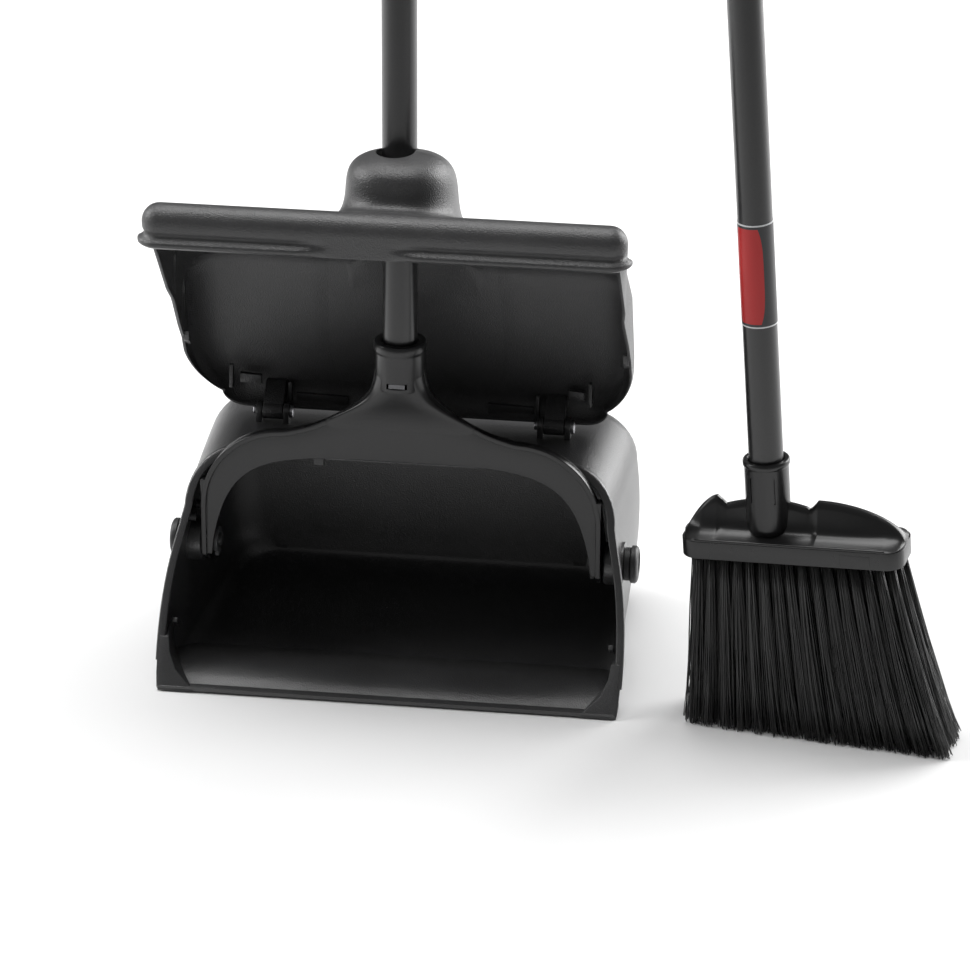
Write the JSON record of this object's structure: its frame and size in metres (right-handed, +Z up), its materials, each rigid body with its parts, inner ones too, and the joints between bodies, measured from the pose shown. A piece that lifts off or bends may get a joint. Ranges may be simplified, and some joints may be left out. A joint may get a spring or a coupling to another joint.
{
  "type": "dust pan and broom set",
  "caption": "Upright lobby dust pan with a hood cover that closes as the handle tips, and a long-handled broom with an angled head.",
  "frame": {"origin": "middle of the underside of the dust pan's centre wear strip, on the floor", "axes": "+X to the viewer's right across the pan, +Y from the pan's lip to its back, +Z up along the poles"},
  "size_m": [0.5569, 0.2604, 0.9527],
  "materials": {
    "pan_plastic": "fine textured charcoal outside, glossy inside",
    "cover_plastic": "fine textured charcoal outside, glossy inside",
    "yoke_plastic": "satin black moulded",
    "pole_coat": "satin black coated steel tube",
    "cap_plastic": "matt black",
    "pin_steel": "dull steel wire and pins",
    "bolt_plastic": "satin black moulded",
    "wheel_plastic": "hard grey-black plastic",
    "tread_plastic": "ribbed, scuffed",
    "head_plastic": "smooth satin black",
    "block_plastic": "fine textured black",
    "bristle_fibre": "black crimped fibre with split tips",
    "plug_metal": "cast, threaded",
    "label_film": "printed film band, red panel on black, no lettering"
  },
  "bodies": {
    "pan": {"pan_body": "pan_plastic", "tread_left": "tread_plastic", "tread_centre": "tread_plastic", "tread_right": "tread_plastic", "pivot_bolt_left": "bolt_plastic", "pivot_bolt_right": "bolt_plastic", "pivot_spacer_left": "bolt_plastic", "pivot_spacer_right": "bolt_plastic", "pivot_clip_left": "bolt_plastic", "pivot_clip_right": "bolt_plastic", "cover_pin_left": "pin_steel", "cover_pin_right": "pin_steel", "wheel_pin_left": "pin_steel", "wheel_pin_right": "pin_steel"},
    "wheel_left_body": {"wheel_left": "wheel_plastic"},
    "wheel_right_body": {"wheel_right": "wheel_plastic"},
    "handle": {"yoke": "yoke_plastic", "pole_lock_tab": "pin_steel", "pan_pole": "pole_coat", "pan_pole_cap": "cap_plastic"},
    "cover_body": {"cover": "cover_plastic"},
    "broom": {"broom_head": "head_plastic", "brush_block": "block_plastic", "bristle_row_1": "bristle_fibre", "bristle_row_2": "bristle_fibre", "bristle_row_3": "bristle_fibre", "bristle_row_4": "bristle_fibre", "bristle_row_5": "bristle_fibre", "tuft_staples": "pin_steel", "broom_thread_plug": "plug_metal", "broom_pole": "pole_coat", "broom_label": "label_film", "broom_pole_cap": "cap_plastic"}
  },
  "joints": [
    {"name": "handle_tilt", "type": "hinge", "parent": "pan", "child": "handle", "pos_m": [0, -0.014, 0.075], "axis": [1, 0, 0], "range_deg": [0, 75.68]},
    {"name": "cover_close", "type": "hinge", "parent": "pan", "child": "cover_body", "pos_m": [0, 0.032, 0.154], "axis": [1, 0, 0], "range_deg": [0, 88]},
    {"name": "wheel_left_spin", "type": "hinge", "parent": "pan", "child": "wheel_left_body", "pos_m": [-0.108, 0.117, 0.016], "axis": [1, 0, 0], "continuous": true},
    {"name": "wheel_right_spin", "type": "hinge", "parent": "pan", "child": "wheel_right_body", "pos_m": [0.108, 0.117, 0.016], "axis": [1, 0, 0], "continuous": true},
    {"name": "broom_lift", "type": "slide", "parent": "pan", "child": "broom", "axis": [0, 0, 1], "range_m": [0, 0.25]}
  ],
  "couplings": [
    {"joint": "cover_close", "follows": "handle_tilt", "ratio": 1.1628}
  ]
}
